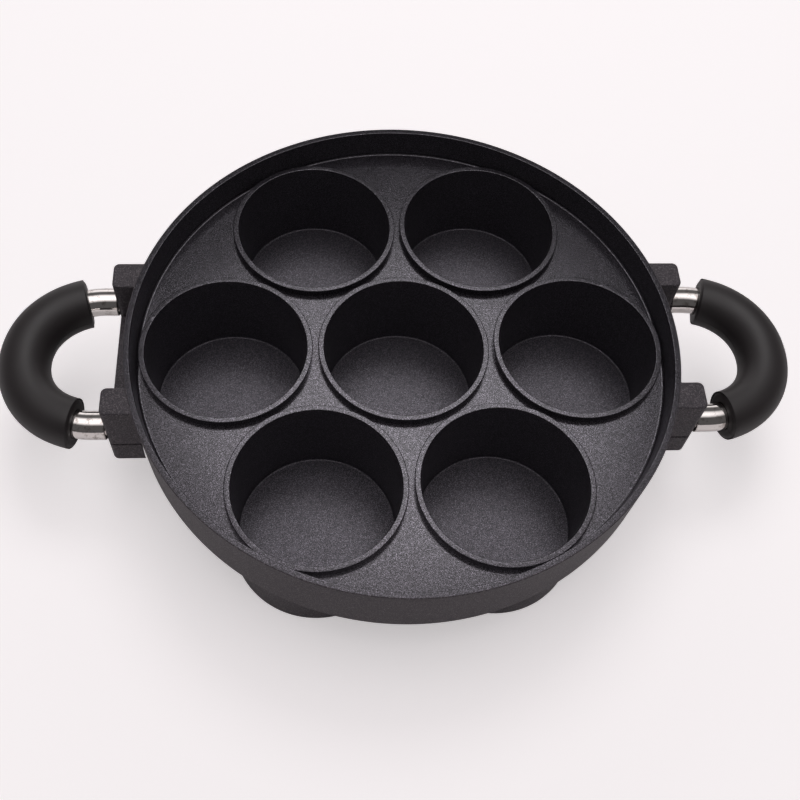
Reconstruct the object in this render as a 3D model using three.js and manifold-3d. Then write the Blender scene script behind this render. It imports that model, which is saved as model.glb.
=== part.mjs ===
// Round cast pan with seven flat-bottomed cups and two U-shaped side handles.
// Millimetres, +Z up. The origin is on the pan's axis, on the surface that the cups stand on.
// +X points through the right-hand handle, and the front is towards -Y.

import * as THREE from 'three';
import { mergeVertices } from 'three/addons/utils/BufferGeometryUtils.js';
import Module from 'manifold-3d';

const wasm = await Module();
wasm.setup();

// Tray: a shallow round dish with an upright rim that runs on below the deck as a skirt.
const RIM_GAP = 0.9;
const RIM_WALL = 2.8;
const RIM_DRAFT = 1.2;
const RIM_EDGE = 0.6;
const TRAY_DEPTH = 13;
const TRAY_FILLET = 2;
const DECK_THICKNESS = 3.5;
const SKIRT_HEIGHT = 33.5;
const SKIRT_EDGE = 1.2;

// Cups: one in the middle and a ring of six round it, each with a raised lip and a flat foot.
const RING_CUPS = 6;
const CUP_MOUTH_RADIUS = 35;
const CUP_DEPTH = 43.5;
const CUP_DRAFT = 0.6;
const CUP_WALL = 2.8;
const CUP_FLOOR = 12;
const CUP_FILLET = 2.5;
const FOOT_EDGE = 1.6;
const LIP_GAP = 2.3;
const LIP_WIDTH = 2.6;
const LIP_HEIGHT = 3.5;
const LIP_EDGE = 0.7;

// Lugs: two cast blocks on each side, with a flat web between them and a screwed cap under each.
const LUG_OFFSET = 32;
const LUG_WIDTH = 13;
const LUG_PROJECTION = 7;
const LUG_TOP_DROP = 0.3;
const LUG_CORNER = 2.5;
const LUG_EDGE = 1;
const WEB_THICKNESS = 3.2;
const WEB_LIFT = 0.3;
const WEB_INSET = 0.6;
const CAP_HEIGHT = 13;
const TONGUE_HEIGHT = 1;

// Handles: a bent bar with a thinner spigot at each end, and a grip of two shells round its bend.
const BAR_RADIUS = 6.2;
const BAR_DROP = 20.5;
const BAR_STRAIGHT = 6;
const BAR_SHOWN = 13;
const BEND_EASE_OUT = 16;
const BEND_EASE_IN = 20;
const HANDLE_PROJECTION = 38;
const SPIGOT_RADIUS = 4.5;
const SPIGOT_LENGTH = 10;
const GRIP_RADIUS = 11;
const GRIP_SCREW_INSET = 13;

// Screws and washers.
const LUG_SCREW = { shank: 2, head: 3.4, headHeight: 2.6, recess: 1.2, slot: 0.9 };
const LUG_SCREW_INSET = 5.8;
const LUG_SCREW_BITE = 6;
const WASHER_RADIUS = 3.8;
const WASHER_THICKNESS = 0.8;
const GRIP_SCREW = { shank: 1.5, head: 2.7, headHeight: 1.8, recess: 1, slot: 0.7 };
const GRIP_SCREW_SEAT = 2.2;
const GRIP_SCREW_BITE = 2.8;

// Clearances between pieces, and how far a cutting solid runs past what it cuts.
const SEAT_GAP = 0.3;
const BORE_CLEARANCE = 0.3;
const OVERRUN = 2;

// Facets.
const RIM_FACETS = 72;
const CUP_FACETS = 28;
const BAR_FACETS = 12;
const BAR_STEPS = 28;
const GRIP_ARC_STEPS = 4;
const GRIP_STEPS = 16;
const SCREW_FACETS = 10;
const EDGE_STEPS = 1;
const MERGE_DISTANCE = 1e-4;

// Plan of the pan: the ring's cups clear the middle one and each other, and the tray's wall clears the ring.
const LIP_RADIUS = CUP_MOUTH_RADIUS + LIP_WIDTH;
const CUP_STEP = 2 * LIP_RADIUS + LIP_GAP;
const CUP_PITCH = Math.max(CUP_STEP, CUP_STEP / (2 * Math.sin(Math.PI / RING_CUPS)));
const TRAY_FLOOR_RADIUS = CUP_PITCH + LIP_RADIUS + RIM_GAP;
const RIM_RADIUS = TRAY_FLOOR_RADIUS + RIM_DRAFT + RIM_WALL;

// Heights above the standing surface.
const LIP_TOP = CUP_FLOOR + CUP_DEPTH;
const DECK_TOP = LIP_TOP - LIP_HEIGHT;
const DECK_BOTTOM = DECK_TOP - DECK_THICKNESS;
const RIM_TOP = DECK_TOP + TRAY_DEPTH;
const SKIRT_BOTTOM = RIM_TOP - SKIRT_HEIGHT;
const BAR_AXIS = RIM_TOP - BAR_DROP;
const LUG_TOP = RIM_TOP - LUG_TOP_DROP;
const LUG_BOTTOM = BAR_AXIS - SPIGOT_RADIUS - TONGUE_HEIGHT;
const WEB_BOTTOM = LUG_BOTTOM + WEB_LIFT;
const CAP_TOP = LUG_BOTTOM - SEAT_GAP;
const CAP_BOTTOM = CAP_TOP - CAP_HEIGHT;
const HEAD_SEAT = CAP_BOTTOM + SEAT_GAP + LUG_SCREW.headHeight;
const WASHER_BOTTOM = HEAD_SEAT + SEAT_GAP;
const WASHER_TOP = WASHER_BOTTOM + WASHER_THICKNESS;
const CAP_SEAT = WASHER_TOP + SEAT_GAP;

// Reaches from the pan's axis.
const LUG_END = RIM_RADIUS + LUG_PROJECTION;
const WALL_MIDDLE = RIM_RADIUS - (RIM_WALL + RIM_DRAFT) / 2;
const SPIGOT_END = LUG_END - SPIGOT_LENGTH;
const LUG_SCREW_X = LUG_END - LUG_SCREW_INSET;

// Finishes.
const COATING = { color: 0x2b2b2d, roughness: 0.55, metalness: 0.2 };
const CHROME = { color: 0xc9c7c4, roughness: 0.18, metalness: 1 };
const PHENOLIC = { color: 0x1d1d1e, roughness: 0.5, metalness: 0 };
const ZINC = { color: 0x9a9a98, roughness: 0.4, metalness: 1 };

/** Turns a closed three.js geometry into a solid that can be joined and cut. */
function solidOf(geometry) {
  geometry.deleteAttribute('normal');
  geometry.deleteAttribute('uv');
  const merged = mergeVertices(geometry, MERGE_DISTANCE);
  const corners = merged.index.array;
  const triangles = [];
  for (let i = 0; i < corners.length; i += 3) {
    const [a, b, c] = corners.slice(i, i + 3);
    if (a !== b && b !== c && c !== a) triangles.push(a, b, c);
  }
  const mesh = new wasm.Mesh({
    numProp: 3,
    vertProperties: new Float32Array(merged.attributes.position.array),
    triVerts: new Uint32Array(triangles),
  });
  return new wasm.Manifold(mesh);
}

/** Makes a named mesh of a solid. */
function meshOf(name, solid, finish) {
  const { vertProperties, triVerts } = solid.getMesh();
  const geometry = new THREE.BufferGeometry();
  geometry.setAttribute('position', new THREE.BufferAttribute(vertProperties, 3));
  geometry.setIndex(new THREE.BufferAttribute(triVerts, 1));
  geometry.computeVertexNormals();
  const mesh = new THREE.Mesh(geometry, new THREE.MeshStandardMaterial(finish));
  mesh.name = name;
  return mesh;
}

/** A solid turned about the Z axis from a path of (radius, height) points, listed from bottom to top. */
function turned(path, facets) {
  const geometry = new THREE.LatheGeometry(path.getPoints(EDGE_STEPS), facets);
  geometry.rotateX(Math.PI / 2);
  return solidOf(geometry);
}

/** A path that starts on the axis at a height. */
function fromAxis(height) {
  return new THREE.Path().moveTo(0, height);
}

/** A plain upright cylinder between two heights. */
function cylinder(radius, bottom, top, facets) {
  const side = fromAxis(bottom).lineTo(radius, bottom).lineTo(radius, top).lineTo(0, top);
  return turned(side, facets);
}

/** An upright block over a plan outline, with its top and bottom edges rounded. */
function block(outline, bottom, top, edge) {
  const geometry = new THREE.ExtrudeGeometry(outline, {
    depth: top - bottom - 2 * edge,
    bevelEnabled: edge > 0,
    bevelThickness: edge,
    bevelSize: edge,
    bevelOffset: -edge,
    bevelSegments: EDGE_STEPS,
    curveSegments: EDGE_STEPS,
  });
  return solidOf(geometry.translate(0, 0, bottom + edge));
}

/** A plan outline from x0 to x1 and y0 to y1, with its two outer corners rounded. */
function outline(x0, x1, y0, y1, corner) {
  const shape = new THREE.Shape().moveTo(x0, y0).lineTo(x1 - corner, y0);
  shape.absarc(x1 - corner, y0 + corner, corner, -Math.PI / 2, 0);
  shape.absarc(x1 - corner, y1 - corner, corner, 0, Math.PI / 2);
  return shape.lineTo(x0, y1);
}

/** A solid of a (y, z) section that runs along X. */
function alongX(section, x0, x1, arcSteps) {
  const geometry = new THREE.ExtrudeGeometry(section, {
    depth: x1 - x0,
    bevelEnabled: false,
    curveSegments: arcSteps,
  });
  const axes = new THREE.Matrix4().makeBasis(
    new THREE.Vector3(0, 1, 0),
    new THREE.Vector3(0, 0, 1),
    new THREE.Vector3(1, 0, 0),
  );
  return solidOf(geometry.applyMatrix4(axes).translate(x0, 0, 0));
}

/** The tray without its cups: rim, deck and skirt. */
function tray() {
  const outerFoot = RIM_RADIUS - RIM_DRAFT;
  const outside = fromAxis(SKIRT_BOTTOM)
    .lineTo(outerFoot - SKIRT_EDGE, SKIRT_BOTTOM)
    .absarc(outerFoot - SKIRT_EDGE, SKIRT_BOTTOM + SKIRT_EDGE, SKIRT_EDGE, -Math.PI / 2, 0)
    .lineTo(RIM_RADIUS, RIM_TOP - RIM_EDGE)
    .lineTo(RIM_RADIUS - RIM_EDGE, RIM_TOP)
    .lineTo(0, RIM_TOP);
  const filletAxis = TRAY_FLOOR_RADIUS - TRAY_FILLET;
  const basin = fromAxis(DECK_TOP)
    .lineTo(filletAxis, DECK_TOP)
    .absarc(filletAxis, DECK_TOP + TRAY_FILLET, TRAY_FILLET, -Math.PI / 2, 0)
    .lineTo(RIM_RADIUS - RIM_WALL, RIM_TOP - RIM_EDGE)
    .lineTo(RIM_RADIUS - RIM_WALL + RIM_EDGE, RIM_TOP)
    .lineTo(RIM_RADIUS - RIM_WALL + RIM_EDGE, RIM_TOP + OVERRUN)
    .lineTo(0, RIM_TOP + OVERRUN);
  const underside = cylinder(TRAY_FLOOR_RADIUS, SKIRT_BOTTOM - OVERRUN, DECK_BOTTOM, RIM_FACETS);
  return turned(outside, RIM_FACETS).subtract(turned(basin, RIM_FACETS)).subtract(underside);
}

/** One cup before it is hollowed, from its foot to its lip. */
function cupBody() {
  const footRadius = CUP_MOUTH_RADIUS - CUP_DRAFT + CUP_WALL;
  const side = fromAxis(0)
    .lineTo(footRadius - FOOT_EDGE, 0)
    .lineTo(footRadius, FOOT_EDGE)
    .lineTo(LIP_RADIUS, LIP_TOP - LIP_EDGE)
    .lineTo(LIP_RADIUS - LIP_EDGE, LIP_TOP)
    .lineTo(0, LIP_TOP);
  return turned(side, CUP_FACETS);
}

/** The hollow of one cup, with a rounded floor corner and a mouth that flares at the lip. */
function cupHollow() {
  const floorRadius = CUP_MOUTH_RADIUS - CUP_DRAFT;
  const side = fromAxis(CUP_FLOOR)
    .lineTo(floorRadius - CUP_FILLET, CUP_FLOOR)
    .absarc(floorRadius - CUP_FILLET, CUP_FLOOR + CUP_FILLET, CUP_FILLET, -Math.PI / 2, 0)
    .lineTo(CUP_MOUTH_RADIUS, LIP_TOP - LIP_EDGE)
    .lineTo(CUP_MOUTH_RADIUS + LIP_EDGE, LIP_TOP)
    .lineTo(CUP_MOUTH_RADIUS + LIP_EDGE, LIP_TOP + OVERRUN)
    .lineTo(0, LIP_TOP + OVERRUN);
  return turned(side, CUP_FACETS);
}

/** Where the cups stand: the middle, then the ring. */
function cupCentres() {
  const centres = [[0, 0]];
  for (let i = 0; i < RING_CUPS; i += 1) {
    const angle = (2 * Math.PI * i) / RING_CUPS;
    centres.push([CUP_PITCH * Math.cos(angle), CUP_PITCH * Math.sin(angle)]);
  }
  return centres;
}

/** The right-hand pair of lugs and their web, run in from the pan's axis and ended inside the tray's wall. */
function lugPair() {
  const half = LUG_WIDTH / 2;
  const inner = LUG_OFFSET - half;
  const webPlan = outline(0, LUG_END - WEB_INSET, -inner - LUG_EDGE, inner + LUG_EDGE, LUG_EDGE);
  let pair = block(webPlan, WEB_BOTTOM, WEB_BOTTOM + WEB_THICKNESS, 0);
  for (const side of [-1, 1]) {
    const middle = side * LUG_OFFSET;
    const plan = outline(0, LUG_END, middle - half, middle + half, LUG_CORNER);
    pair = pair.add(block(plan, LUG_BOTTOM, LUG_TOP, LUG_EDGE));
  }
  const inside = cylinder(WALL_MIDDLE, LUG_BOTTOM - OVERRUN, LUG_TOP + OVERRUN, RIM_FACETS);
  return pair.subtract(inside);
}

/** The slot that a bar's spigot lies in, open at the lug's end and underside, and its screw hole. */
function spigotSlot() {
  const radius = SPIGOT_RADIUS + BORE_CLEARANCE;
  const open = LUG_BOTTOM - OVERRUN;
  const section = new THREE.Shape().moveTo(-radius, open).lineTo(radius, open);
  section.absarc(0, BAR_AXIS, radius, 0, Math.PI);
  const slot = alongX(section, SPIGOT_END - SEAT_GAP, LUG_END + OVERRUN, BAR_FACETS / 4);
  const roof = BAR_AXIS + radius + LUG_SCREW_BITE;
  const hole = cylinder(LUG_SCREW.shank + BORE_CLEARANCE, BAR_AXIS, roof, SCREW_FACETS);
  return slot.add(hole.translate([LUG_SCREW_X, 0, 0]));
}

/** The whole casting: tray, cups, lugs and webs, cut for the cups' hollows and the bars' ends. */
function panCasting() {
  const lugs = lugPair();
  const slot = spigotSlot();
  let body = tray().add(lugs).add(lugs.rotate([0, 0, 180]));
  const cup = cupBody();
  for (const [x, y] of cupCentres()) {
    body = body.add(cup.translate([x, y, 0]));
  }
  const hollow = cupHollow();
  for (const [x, y] of cupCentres()) {
    body = body.subtract(hollow.translate([x, y, 0]));
  }
  for (const turn of [0, 180]) {
    for (const side of [-1, 1]) {
      body = body.subtract(slot.translate([0, side * LUG_OFFSET, 0]).rotate([0, 0, turn]));
    }
  }
  return body;
}

/** A stretch of a longer path, from one length along it to another. */
class Stretch extends THREE.Curve {
  constructor(path, from, to) {
    super();
    this.path = path;
    this.from = from;
    this.to = to;
  }

  getPoint(t, target = new THREE.Vector3()) {
    const along = this.from + (this.to - this.from) * t;
    return target.copy(this.path.getPointAt(along / this.path.getLength()));
  }
}

/** The bar's centre line outside the lugs, from the front lug round to the rear one. */
function barPath() {
  const start = LUG_END + SEAT_GAP;
  const bend = LUG_END + BAR_STRAIGHT;
  const reach = LUG_END + HANDLE_PROJECTION;
  const point = (x, y) => new THREE.Vector3(x, y, BAR_AXIS);
  const path = new THREE.CurvePath();
  path.add(new THREE.LineCurve3(point(start, -LUG_OFFSET), point(bend, -LUG_OFFSET)));
  path.add(new THREE.CubicBezierCurve3(
    point(bend, -LUG_OFFSET),
    point(bend + BEND_EASE_OUT, -LUG_OFFSET),
    point(reach, -BEND_EASE_IN),
    point(reach, 0),
  ));
  path.add(new THREE.CubicBezierCurve3(
    point(reach, 0),
    point(reach, BEND_EASE_IN),
    point(bend + BEND_EASE_OUT, LUG_OFFSET),
    point(bend, LUG_OFFSET),
  ));
  path.add(new THREE.LineCurve3(point(bend, LUG_OFFSET), point(start, LUG_OFFSET)));
  return path;
}

/** A section swept along a path. The section's -x side is the upper one. */
function swept(section, path, steps, arcSteps) {
  return solidOf(new THREE.ExtrudeGeometry(section, {
    steps,
    curveSegments: arcSteps,
    extrudePath: path,
  }));
}

/** Where the grip's screws cross the bar, as points on its centre line. */
function gripScrewPoints(path) {
  const length = path.getLength();
  const first = BAR_SHOWN + GRIP_SCREW_INSET;
  return [first, length - first].map((along) => path.getPointAt(along / length));
}

/** The bent bar with its two spigots and the cross holes for its screws. */
function handleBar(path) {
  const round = new THREE.Shape().absarc(0, 0, BAR_RADIUS, 0, 2 * Math.PI);
  let bar = swept(round, path, BAR_STEPS, BAR_FACETS / 2);
  const spigot = new THREE.Shape().absarc(0, BAR_AXIS, SPIGOT_RADIUS, 0, 2 * Math.PI);
  const lugHole = cylinder(LUG_SCREW.shank + BORE_CLEARANCE, 0, RIM_TOP, SCREW_FACETS);
  for (const side of [-1, 1]) {
    const stub = alongX(spigot, SPIGOT_END, LUG_END + BAR_STRAIGHT, BAR_FACETS / 2);
    bar = bar.add(stub.translate([0, side * LUG_OFFSET, 0]));
    bar = bar.subtract(lugHole.translate([LUG_SCREW_X, side * LUG_OFFSET, 0]));
  }
  const gripHole = cylinder(GRIP_SCREW.shank + BORE_CLEARANCE, 0, RIM_TOP, SCREW_FACETS);
  for (const { x, y } of gripScrewPoints(path)) {
    bar = bar.subtract(gripHole.translate([x, y, 0]));
  }
  return bar;
}

/** One half of the grip: the upper shell where up is 1, the lower one where it is -1. */
function gripShell(path, up) {
  const bore = BAR_RADIUS + BORE_CLEARANCE;
  const outerLean = Math.asin(SEAT_GAP / 2 / GRIP_RADIUS);
  const innerLean = Math.asin(SEAT_GAP / 2 / bore);
  const first = up > 0 ? Math.PI / 2 : -Math.PI / 2;
  const section = new THREE.Shape();
  section.absarc(0, 0, GRIP_RADIUS, first + outerLean, first + Math.PI - outerLean);
  section.absarc(0, 0, bore, first + Math.PI - innerLean, first + innerLean, true);
  const stretch = new Stretch(path, BAR_SHOWN, path.getLength() - BAR_SHOWN);
  let shell = swept(section, stretch, GRIP_STEPS, GRIP_ARC_STEPS);
  const seat = BAR_AXIS - GRIP_RADIUS + GRIP_SCREW_SEAT;
  const roof = BAR_AXIS + bore + GRIP_SCREW_BITE;
  const hole = cylinder(GRIP_SCREW.shank + BORE_CLEARANCE, 0, roof, SCREW_FACETS);
  const counterbore = cylinder(GRIP_SCREW.head + BORE_CLEARANCE, 0, seat, SCREW_FACETS);
  for (const { x, y } of gripScrewPoints(path)) {
    shell = shell.subtract(hole.add(counterbore).translate([x, y, 0]));
  }
  return shell;
}

/** The cap under a lug: it follows the skirt, closes the slot with a tongue and is bored from below. */
function lugCap(middle) {
  const half = LUG_WIDTH / 2;
  const plan = outline(0, LUG_END, -half, half, LUG_CORNER);
  const tonguePlan = outline(SPIGOT_END, LUG_END - LUG_EDGE, -SPIGOT_RADIUS, SPIGOT_RADIUS, LUG_EDGE);
  const tongueTop = BAR_AXIS - SPIGOT_RADIUS - SEAT_GAP;
  const tongue = block(tonguePlan, CAP_TOP - LUG_EDGE, tongueTop, 0);
  const bore = LUG_SCREW.shank + BORE_CLEARANCE;
  const hole = cylinder(bore, CAP_BOTTOM - OVERRUN, tongueTop + OVERRUN, SCREW_FACETS);
  const counterbore = cylinder(WASHER_RADIUS + BORE_CLEARANCE, CAP_BOTTOM - OVERRUN, CAP_SEAT, SCREW_FACETS);
  const bored = hole.add(counterbore).translate([LUG_SCREW_X, 0, 0]);
  const skirt = cylinder(RIM_RADIUS + SEAT_GAP, CAP_BOTTOM - OVERRUN, RIM_TOP, RIM_FACETS);
  const cap = block(plan, CAP_BOTTOM, CAP_TOP, LUG_EDGE).add(tongue).subtract(bored);
  return cap.subtract(skirt.translate([0, -middle, 0]));
}

/** A cross-recessed screw, head down, whose head's upper face is at seat and whose tip is at tip. */
function screw({ shank, head, headHeight, recess, slot }, seat, tip) {
  const under = seat - headHeight;
  const side = fromAxis(under)
    .lineTo(head, under)
    .lineTo(head, seat)
    .lineTo(shank, seat)
    .lineTo(shank, tip - shank / 2)
    .lineTo(shank / 2, tip)
    .lineTo(0, tip);
  let solid = turned(side, SCREW_FACETS);
  for (const [x, y] of [[head, slot], [slot, head]]) {
    const cut = new THREE.BoxGeometry(x, y, 2 * recess).translate(0, 0, under);
    solid = solid.subtract(solidOf(cut));
  }
  return solid;
}

/** The washer between a lug screw's head and its cap. */
function lugWasher() {
  const bore = LUG_SCREW.shank + BORE_CLEARANCE;
  const hole = cylinder(bore, WASHER_BOTTOM - OVERRUN, WASHER_TOP + OVERRUN, SCREW_FACETS);
  return cylinder(WASHER_RADIUS, WASHER_BOTTOM, WASHER_TOP, SCREW_FACETS).subtract(hole);
}

/** A right-hand handle, or the same turned half round for the left, with everything that holds it. */
function handle(sideName, turn) {
  const group = new THREE.Group();
  const path = barPath();
  group.add(meshOf(`handle_bar_${sideName}`, handleBar(path), CHROME));
  group.add(meshOf(`grip_upper_${sideName}`, gripShell(path, 1), PHENOLIC));
  group.add(meshOf(`grip_lower_${sideName}`, gripShell(path, -1), PHENOLIC));

  const gripSeat = BAR_AXIS - GRIP_RADIUS + GRIP_SCREW_SEAT - SEAT_GAP;
  const gripTip = BAR_AXIS + BAR_RADIUS + GRIP_SCREW_BITE;
  const gripScrew = screw(GRIP_SCREW, gripSeat, gripTip);
  const lugTip = BAR_AXIS + SPIGOT_RADIUS + LUG_SCREW_BITE;
  const lugScrew = screw(LUG_SCREW, HEAD_SEAT, lugTip);
  const frontIsFirst = turn === 0;
  gripScrewPoints(path).forEach(({ x, y }, i) => {
    const end = (i === 0) === frontIsFirst ? 'front' : 'rear';
    const side = i === 0 ? -1 : 1;
    const held = [
      meshOf(`grip_screw_${sideName}_${end}`, gripScrew, ZINC),
      meshOf(`lug_cap_${sideName}_${end}`, lugCap(side * LUG_OFFSET), COATING),
      meshOf(`lug_washer_${sideName}_${end}`, lugWasher(), ZINC),
      meshOf(`lug_screw_${sideName}_${end}`, lugScrew, ZINC),
    ];
    const [gripScrewMesh, capMesh, washerMesh, lugScrewMesh] = held;
    gripScrewMesh.position.set(x, y, 0);
    capMesh.position.set(0, side * LUG_OFFSET, 0);
    washerMesh.position.set(LUG_SCREW_X, side * LUG_OFFSET, 0);
    lugScrewMesh.position.set(LUG_SCREW_X, side * LUG_OFFSET, 0);
    group.add(...held);
  });
  group.rotation.z = turn;
  return group;
}

const pan = new THREE.Group();
pan.add(meshOf('pan_casting', panCasting(), COATING));
pan.add(handle('right', 0));
pan.add(handle('left', Math.PI));

export default pan;
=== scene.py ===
"""Looks of a round cast pan with seven flat-bottomed cups and two chromed U handles with black grips.

Sizes are in millimetres, apart from those of the table and its light. A piece is shaped in millimetres and brought to
metres when it is finished.
"""

import logging
import math
from dataclasses import dataclass
from enum import Enum, IntEnum
from typing import Any, Callable, Iterable, Sequence

import bpy
from mathutils import Matrix, Vector


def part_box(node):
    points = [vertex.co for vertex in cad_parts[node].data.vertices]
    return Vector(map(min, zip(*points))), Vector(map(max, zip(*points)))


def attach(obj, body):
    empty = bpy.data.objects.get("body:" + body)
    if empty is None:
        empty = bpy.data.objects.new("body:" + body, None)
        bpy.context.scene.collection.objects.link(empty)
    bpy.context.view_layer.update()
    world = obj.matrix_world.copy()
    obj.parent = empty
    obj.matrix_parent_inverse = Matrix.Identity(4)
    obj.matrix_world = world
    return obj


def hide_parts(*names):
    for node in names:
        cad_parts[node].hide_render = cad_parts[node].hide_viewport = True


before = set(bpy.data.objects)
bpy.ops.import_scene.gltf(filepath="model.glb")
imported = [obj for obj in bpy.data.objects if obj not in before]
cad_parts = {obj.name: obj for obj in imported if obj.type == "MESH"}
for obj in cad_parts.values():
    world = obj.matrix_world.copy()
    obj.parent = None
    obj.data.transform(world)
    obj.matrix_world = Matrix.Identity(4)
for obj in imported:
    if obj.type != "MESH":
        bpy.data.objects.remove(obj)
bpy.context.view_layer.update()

LOG = logging.getLogger("pan")
MM = 0.001  # a millimetre in metres
MERGE = 1e-4  # points nearer than this are one point
OVERRUN = 2.0  # how far a cutter runs past the face that it opens
BENCH = 300.0  # reaches past every piece on the bench
HALF_TURN = math.pi
QUARTER_TURN = math.pi / 2
EDGE_STEPS = 5  # chords of a small rounding on a turned profile
FILLET_STEPS = 8  # chords of a fillet that carries a highlight

# A Mix node has its colour sockets behind number sockets of the same names, so they go by their place.
FIRST_COLOUR, SECOND_COLOUR, MIXED_COLOUR = 6, 7, 2

Point = tuple[float, float]
Triple = tuple[float, float, float]
Colour = tuple[float, float, float, float]


class Slot(Enum):
    """The record's material slots."""

    COATING = "coating"
    CHROME = "chrome"
    PHENOLIC = "phenolic"
    ZINC = "zinc"


class Coat(IntEnum):
    """The casting's coats, numbered as its materials."""

    OUTSIDE = 0
    DECK = 1
    CUPS = 2


class Joint(Enum):
    """How one solid acts on another."""

    JOIN = "UNION"
    CUT = "DIFFERENCE"


class Picks(Enum):
    """What is picked in edit mode."""

    POINTS = (True, False, False)
    EDGES = (False, True, False)
    FACES = (False, False, True)


class Side(Enum):
    """The side of the pan, as the turn that takes the right-hand pieces there."""

    RIGHT = 0.0
    LEFT = HALF_TURN

    @property
    def label(self) -> str:
        """The side's name as the solids have it."""
        return self.name.lower()

    def end(self, rear: bool) -> str:
        """The name that a right-hand piece's end has after the turn to this side."""
        return "rear" if rear == (self is Side.RIGHT) else "front"


def linear(code: str) -> Colour:
    """Turns an sRGB colour to linear.

    Args:
        code: the colour in hex, with a hash sign before it.

    Returns:
        Red, green, blue and a full alpha.
    """
    channels = [int(code[i : i + 2], 16) / 255 for i in (1, 3, 5)]
    red, green, blue = (c / 12.92 if c <= 0.04045 else ((c + 0.055) / 1.055) ** 2.4 for c in channels)
    return (red, green, blue, 1.0)


def arc(centre: Point, radius: float, start: float, end: float, steps: int = EDGE_STEPS) -> list[Point]:
    """Points on an arc of a turning profile.

    Args:
        centre: the arc's centre, as radius and height.
        radius: the arc's own radius.
        start: the first angle in degrees, from straight outwards.
        end: the last angle in degrees.
        steps: how many chords the arc has.

    Returns:
        The points from the first angle to the last.
    """
    angles = [math.radians(start + (end - start) * i / steps) for i in range(steps + 1)]
    return [(centre[0] + radius * math.cos(a), centre[1] + radius * math.sin(a)) for a in angles]


def add_node(
    tree: bpy.types.NodeTree, kind: str, inputs: dict[str | int, Any] | None = None, **settings: Any
) -> bpy.types.Node:
    """Adds a node with its settings and links.

    Args:
        tree: the node tree that gets the node.
        kind: the node's type.
        inputs: for each input, the socket that feeds it or its value.
        settings: the node's own properties.

    Returns:
        The node.
    """
    made = tree.nodes.new(kind)
    for key, value in settings.items():
        setattr(made, key, value)
    for key, value in (inputs or {}).items():
        if isinstance(value, bpy.types.NodeSocket):
            tree.links.new(value, made.inputs[key])
        else:
            made.inputs[key].default_value = value
    return made


def blank_material(name: str) -> tuple[bpy.types.Material, bpy.types.NodeTree]:
    """Starts a material with no nodes.

    Args:
        name: the material's name.

    Returns:
        The material and its node tree.
    """
    material = bpy.data.materials.new(name)
    material.use_nodes = True
    material.node_tree.nodes.clear()
    return material, material.node_tree


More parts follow.
